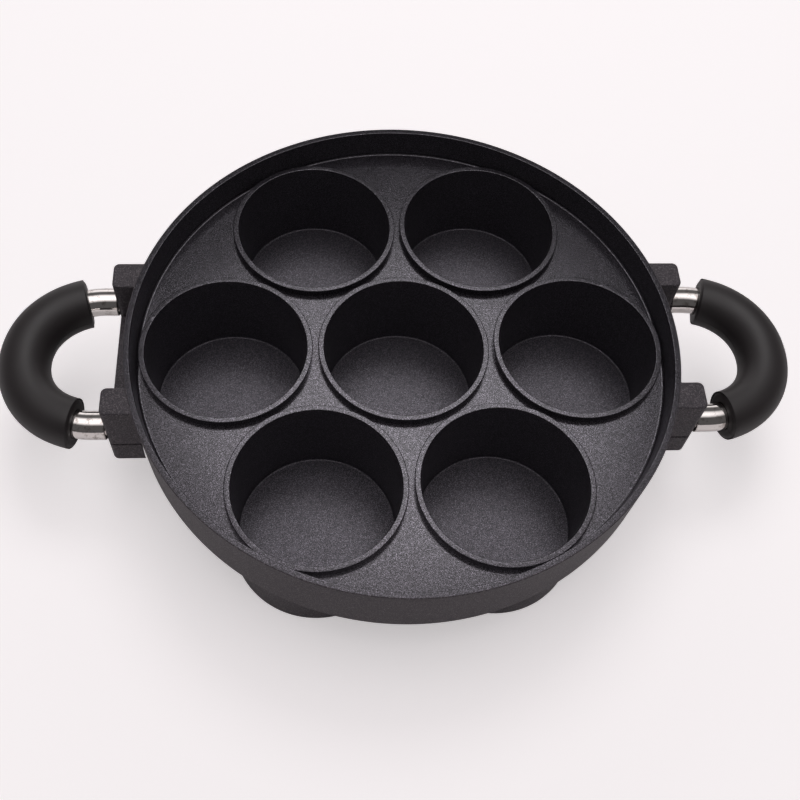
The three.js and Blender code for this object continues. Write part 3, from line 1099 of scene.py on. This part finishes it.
@dataclass
class Handle:
    """A bent bar with its two grip shells and their screws, as on the right-hand side."""

    plan: Plan
    bar_radius: float = 6.2
    bar_straight: float = 6.0
    bar_shown: float = 13.0
    bar_edge: float = 0.4
    bar_edge_steps: int = 3
    projection: float = 38.0
    ease_out: float = 16.0
    ease_in: float = 20.0
    grip_radius: float = 11.0
    grip_edge: float = 2.4
    grip_edge_steps: int = 6
    seam: float = 0.12
    screw_seat: float = 2.2
    screw_bite: float = 2.8
    screw: ScrewSize = ScrewSize(shank=1.5, head=2.7, head_height=1.8, recess=1.0, slot=0.7)
    bar_sides: int = 32
    grip_sides: int = 44

    @property
    def route(self) -> Route:
        """The bar's centre line.

        Returns:
            The line.
        """
        return Route(
            start=self.plan.lug_end + self.plan.clearance,
            bend=self.plan.lug_end + self.bar_straight,
            reach=self.plan.lug_end + self.projection,
            offset=self.plan.lug_offset,
            height=self.plan.bar_axis,
            ease_out=self.ease_out,
            ease_in=self.ease_in,
        )

    @property
    def screw_places(self) -> list[Triple]:
        """Where the grip's screws cross the bar, as the solids have it.

        Returns:
            The front screw's place and the rear one's.
        """
        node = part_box("grip_screw_right_front")
        x, y = ((node[0][i] + node[1][i]) / 2 / MM for i in (0, 1))
        return [(x, y, 0.0), (x, -y, 0.0)]

    def bores(self, radius: float, high: float, places: Sequence[Triple]) -> Workpiece:
        """Upright round cutters at several places, wider by the clearance, from the table up to a height."""
        return Workpiece.drum(radius + self.plan.clearance, 0.0, high, self.plan.small_steps).spread(places)

    def bar(self) -> Workpiece:
        """Draws the bar, turns its ends down to spigots and drills it.

        Returns:
            The bar.
        """
        plan = self.plan
        bar = Workpiece.swept(self.route, self.bar_radius, 0.0, self.bar_sides)
        bar.round_sharp(self.bar_edge, self.bar_edge_steps)
        end = plan.lug_end + self.bar_straight
        spigot = Workpiece.drum(plan.spigot_radius, plan.spigot_end, end, plan.small_steps).laid_down()
        bar.worked(spigot.spread(plan.at_lugs(height=plan.bar_axis)), Joint.JOIN)
        bar.worked(self.bores(plan.lug_screw.shank, plan.rim_top, plan.at_lugs(plan.lug_screw_x)), Joint.CUT)
        return bar.worked(self.bores(self.screw.shank, plan.rim_top, self.screw_places), Joint.CUT)

    def grip(self) -> tuple[Workpiece, Workpiece]:
        """Draws the grip with rounded ends, bores it, drills it and saws it in two.

        Returns:
            The upper and the lower shell.
        """
        axis = self.plan.bar_axis
        bore = self.bar_radius + self.plan.clearance
        whole = Workpiece.swept(self.route, self.grip_radius, self.bar_shown, self.grip_sides)
        whole.round_sharp(self.grip_edge, self.grip_edge_steps)
        whole.worked(Workpiece.swept(self.route, bore, 0.0, self.bar_sides), Joint.CUT)
        roof = axis + bore + self.screw_bite
        whole.worked(self.bores(self.screw.shank, roof, self.screw_places), Joint.CUT)
        seat = axis - self.grip_radius + self.screw_seat
        whole.worked(self.bores(self.screw.head, seat, self.screw_places), Joint.CUT)
        upper = whole.copy().halved(axis + self.seam / 2, True)
        lower = whole.halved(axis - self.seam / 2, False)
        return upper, lower

    def dress(self, chrome: bpy.types.Material, phenolic: bpy.types.Material, zinc: bpy.types.Material) -> None:
        """Finishes both sides' bars, grips and grip screws.

        Args:
            chrome: the bars' finish.
            phenolic: the grips' finish.
            zinc: the screws' finish.
        """
        bar = self.bar()
        upper, lower = self.grip()
        axis = self.plan.bar_axis
        seat = axis - self.grip_radius + self.screw_seat - self.plan.clearance
        screw = self.screw.build(seat, axis + self.bar_radius + self.screw_bite, self.plan.small_steps)
        screws = screw.copies(self.screw_places)
        for side in (Side.LEFT, Side.RIGHT):
            for piece, name, node, slot, finish in (
                (bar, "chromed_bar", "handle_bar", Slot.CHROME, chrome),
                (upper, "upper_grip", "grip_upper", Slot.PHENOLIC, phenolic),
                (lower, "lower_grip", "grip_lower", Slot.PHENOLIC, phenolic),
            ):
                piece.placed(side).finished(f"{name}_{side.label}", f"{node}_{side.label}", slot, [finish])
            for rear, piece in zip((False, True), screws):
                end = f"{side.label}_{side.end(rear)}"
                piece.placed(side).finished(f"grip_fastener_{end}", f"grip_screw_{end}", Slot.ZINC, [zinc])


@dataclass
class LugFixing:
    """What holds a bar's end in its lug: a cap, a washer and a screw."""

    plan: Plan
    cap_height: float = 13.0
    skirt_radius: float = 119.1
    washer_radius: float = 3.8
    washer_thickness: float = 0.8
    washer_edge: float = 0.15

    @property
    def cap_top(self) -> float:
        """The height of the cap's upper face."""
        return self.plan.lug_bottom - self.plan.clearance

    @property
    def head_seat(self) -> float:
        """The height of the screw head's upper face."""
        return self.cap_top - self.cap_height + self.plan.clearance + self.plan.lug_screw.head_height

    @property
    def washer_bottom(self) -> float:
        """The height of the washer's lower face."""
        return self.head_seat + self.plan.clearance

    @property
    def bore(self) -> float:
        """The radius of the screw's hole."""
        return self.plan.lug_screw.shank + self.plan.clearance

    def cap(self) -> Workpiece:
        """Shapes the front cap: rounded like its lug, hollowed to the skirt, with a tongue and a stepped bore.

        Returns:
            The cap.
        """
        plan, bore, top = self.plan, self.bore, self.cap_top
        bottom = top - self.cap_height
        cap = plan.lug_block(bottom, top)
        tongue_top = plan.bar_axis - plan.spigot_radius - plan.clearance
        tongue = Workpiece.block(
            (plan.spigot_end, -plan.spigot_radius, top - plan.lug_edge),
            (plan.lug_end - plan.lug_edge, plan.spigot_radius, tongue_top),
        )
        cap.worked(tongue, Joint.JOIN)
        seat = self.washer_bottom + self.washer_thickness + plan.clearance
        wide = self.washer_radius + plan.clearance
        low, high = bottom - OVERRUN, plan.bar_axis
        stepped = [(0.0, low), (wide, low), (wide, seat), (bore, seat), (bore, high), (0.0, high)]
        drill = Workpiece.turned(stepped, plan.small_steps).moved((plan.lug_screw_x, 0.0, 0.0))
        cap.worked(drill, Joint.CUT).moved((0.0, -plan.lug_offset, 0.0))
        skirt = Workpiece.drum(self.skirt_radius + plan.clearance, low, plan.rim_top, plan.rim_steps)
        return cap.worked(skirt, Joint.CUT)

    def washer(self) -> Workpiece:
        """Turns the washer with broken edges.

        Returns:
            The washer on the upright axis.
        """
        low, high = self.washer_bottom, self.washer_bottom + self.washer_thickness
        bore, wide, edge = self.bore, self.washer_radius, self.washer_edge
        ring = [
            (bore, low),
            (wide - edge, low),
            (wide, low + edge),
            (wide, high - edge),
            (wide - edge, high),
            (bore, high),
            (bore, low),
        ]
        return Workpiece.turned(ring, self.plan.small_steps)

    def dress(self, coat: bpy.types.Material, zinc: bpy.types.Material) -> None:
        """Finishes the caps, washers and screws of the four lugs.

        Args:
            coat: the caps' finish.
            zinc: the washers' and screws' finish.
        """
        plan = self.plan
        front_cap = self.cap()
        caps = [front_cap, front_cap.copy().mirrored()]
        tip = plan.bar_axis + plan.spigot_radius + plan.lug_screw_bite
        places = plan.at_lugs(plan.lug_screw_x)
        washers = self.washer().copies(places)
        screws = plan.lug_screw.build(self.head_seat, tip, plan.small_steps).copies(places)
        for side in (Side.LEFT, Side.RIGHT):
            for rear, cap, washer, screw in zip((False, True), caps, washers, screws):
                end = f"{side.label}_{side.end(rear)}"
                for piece, name, node, slot, finish in (
                    (cap, "cap_block", "lug_cap", Slot.COATING, coat),
                    (washer, "cap_washer", "lug_washer", Slot.ZINC, zinc),
                    (screw, "cap_fastener", "lug_screw", Slot.ZINC, zinc),
                ):
                    piece.placed(side).finished(f"{name}_{end}", f"{node}_{end}", slot, [finish])


@dataclass(frozen=True)
class Ramp:
    """A soft change of light across the tent, along an axis on which 1 is straight up or straight back."""

    start: float
    end: float
    first: float
    last: float

    @property
    def inputs(self) -> dict[str, float]:
        """The values of a map range."""
        return {"From Min": self.start, "From Max": self.end, "To Min": self.first, "To Max": self.last}


@dataclass
class Studio:
    """The white table, the light and the camera."""

    # The camera: angles in degrees, lengths in millimetres.
    elevation: float = 59.3
    azimuth: float = -8.5
    roll: float = 6.7
    distance: float = 450.0
    lens: float = 48.69
    aim: Triple = (-3.9, -33.2, 65.0)

    # The table, in metres. Its paper glows for the camera, and for shiny pieces by a share of that. The rest of its
    # white is light that it gives back, which keeps the shadow.
    floor_reach: float = 4.0
    floor_drop: float = 0.0002
    paper: str = "#fcf8f9"
    paper_share: float = 0.98
    paper_glow: float = 0.477
    mirrored_share: float = 0.2

    # The lamp, in metres and watts. The deck mirrors it to the camera.
    key_place: Triple = (0.1, 0.63, 1.178)
    key_size: Point = (0.74, 0.52)
    key_power: float = 2.4

    # The tent: bright overhead and dimmer to the front, with a white card low behind the pan.
    roof: Ramp = Ramp(start=0.79, end=1.0, first=0.11, last=1.55)
    front: Ramp = Ramp(start=-0.6, end=-0.1, first=0.75, last=1.0)
    card: Ramp = Ramp(start=0.8, end=0.96, first=0.0, last=1.0)

    def floor(self) -> None:
        """Lays the table, which looks white to the camera and keeps the pan's shadow."""
        bpy.ops.object.select_all(action="DESELECT")
        bpy.ops.mesh.primitive_plane_add(size=2 * self.floor_reach, location=(0.0, 0.0, -self.floor_drop))
        table = bpy.context.object
        table.name = "white_table"
        material, tree = blank_material("matt_white_paper")
        paper = linear(self.paper)
        shade = tuple(self.paper_share * c for c in paper[:3]) + (1.0,)
        shaded = add_node(tree, "ShaderNodeBsdfDiffuse", {"Color": shade}).outputs["BSDF"]
        path = add_node(tree, "ShaderNodeLightPath")
        rays = add_node(
            tree,
            "ShaderNodeMath",
            {0: path.outputs["Is Glossy Ray"], 1: self.mirrored_share, 2: path.outputs["Is Camera Ray"]},
            operation="MULTIPLY_ADD",
        ).outputs["Value"]
        seen = add_node(
            tree, "ShaderNodeMath", {0: rays, 1: self.paper_glow}, operation="MULTIPLY"
        ).outputs["Value"]
        glow = add_node(tree, "ShaderNodeEmission", {"Color": paper, "Strength": seen}).outputs["Emission"]
        surface = add_node(tree, "ShaderNodeAddShader", {0: shaded, 1: glow}).outputs["Shader"]
        add_node(tree, "ShaderNodeOutputMaterial", {"Surface": surface})
        table.data.materials.append(material)

    def sky(self) -> None:
        """Surrounds the table with a white tent, brighter above and behind the pan."""
        world = bpy.data.worlds.new("white_tent")
        world.use_nodes = True
        tree = world.node_tree
        tree.nodes.clear()
        way = add_node(tree, "ShaderNodeTexCoord").outputs["Generated"]
        part = add_node(tree, "ShaderNodeSeparateXYZ", {"Vector": way})
        roof, front, card = (
            add_node(
                tree,
                "ShaderNodeMapRange",
                {"Value": part.outputs[axis], **ramp.inputs},
                interpolation_type="SMOOTHSTEP",
            ).outputs["Result"]
            for axis, ramp in (("Z", self.roof), ("Y", self.front), ("Y", self.card))
        )
        level = add_node(
            tree, "ShaderNodeMath", {0: roof, 1: front, 2: card}, operation="MULTIPLY_ADD"
        ).outputs["Value"]
        path = add_node(tree, "ShaderNodeLightPath")
        strength = add_node(
            tree, "ShaderNodeMix", {"Factor": path.outputs["Is Camera Ray"], "A": level, "B": 1.0}
        ).outputs["Result"]
        tent = add_node(tree, "ShaderNodeBackground", {"Color": linear(self.paper), "Strength": strength})
        add_node(tree, "ShaderNodeOutputWorld", {"Surface": tent.outputs["Background"]})
        bpy.context.scene.world = world

    def key(self) -> None:
        """Hangs a large soft light above and behind the pan."""
        bpy.ops.object.light_add(type="AREA", location=self.key_place)
        lamp = bpy.context.object
        lamp.name = "soft_top_light"
        lamp.data.shape = "ELLIPSE"
        lamp.data.size, lamp.data.size_y = self.key_size
        lamp.data.energy = self.key_power
        lamp.visible_camera = False
        lamp.rotation_euler = (-Vector(self.key_place)).to_track_quat("-Z", "Y").to_euler()

    def camera(self) -> None:
        """Sets the camera at the photograph's angle, for a square picture."""
        rise, swing, roll = (math.radians(v) for v in (self.elevation, self.azimuth, self.roll))
        back = Vector(
            (math.sin(swing) * math.cos(rise), -math.cos(swing) * math.cos(rise), math.sin(rise))
        )
        right = Vector((math.cos(swing), math.sin(swing), 0.0))
        up = back.cross(right)
        right, up = (
            right * math.cos(roll) + up * math.sin(roll),
            up * math.cos(roll) - right * math.sin(roll),
        )
        bpy.ops.object.camera_add()
        camera = bpy.context.object
        turn = Matrix((right, up, back)).transposed().to_4x4()
        place = (Vector(self.aim) + back * self.distance) * MM
        camera.matrix_world = Matrix.Translation(place) @ turn
        camera.data.lens = self.lens
        bpy.context.scene.camera = camera

    def set_up(self) -> None:
        """Sets everything up."""
        self.floor()
        self.sky()
        self.key()
        self.camera()
        bpy.context.scene.view_settings.view_transform = "Standard"


def main() -> None:
    """Builds the pan's pieces in order, dresses them and sets the studio up."""
    logging.basicConfig(level=logging.INFO, format="%(name)s: %(message)s")
    coats = {coat: finish.make() for coat, finish in COATS.items()}
    chrome = ChromePlate().make()
    phenolic = MouldedPhenolic().make()
    zinc = ZincPlate().make()

    plan = Plan()
    Casting(plan).dress(coats)
    Handle(plan).dress(chrome, phenolic, zinc)
    LugFixing(plan).dress(coats[Coat.OUTSIDE], zinc)
    Studio().set_up()


if __name__ == "__main__":
    main()
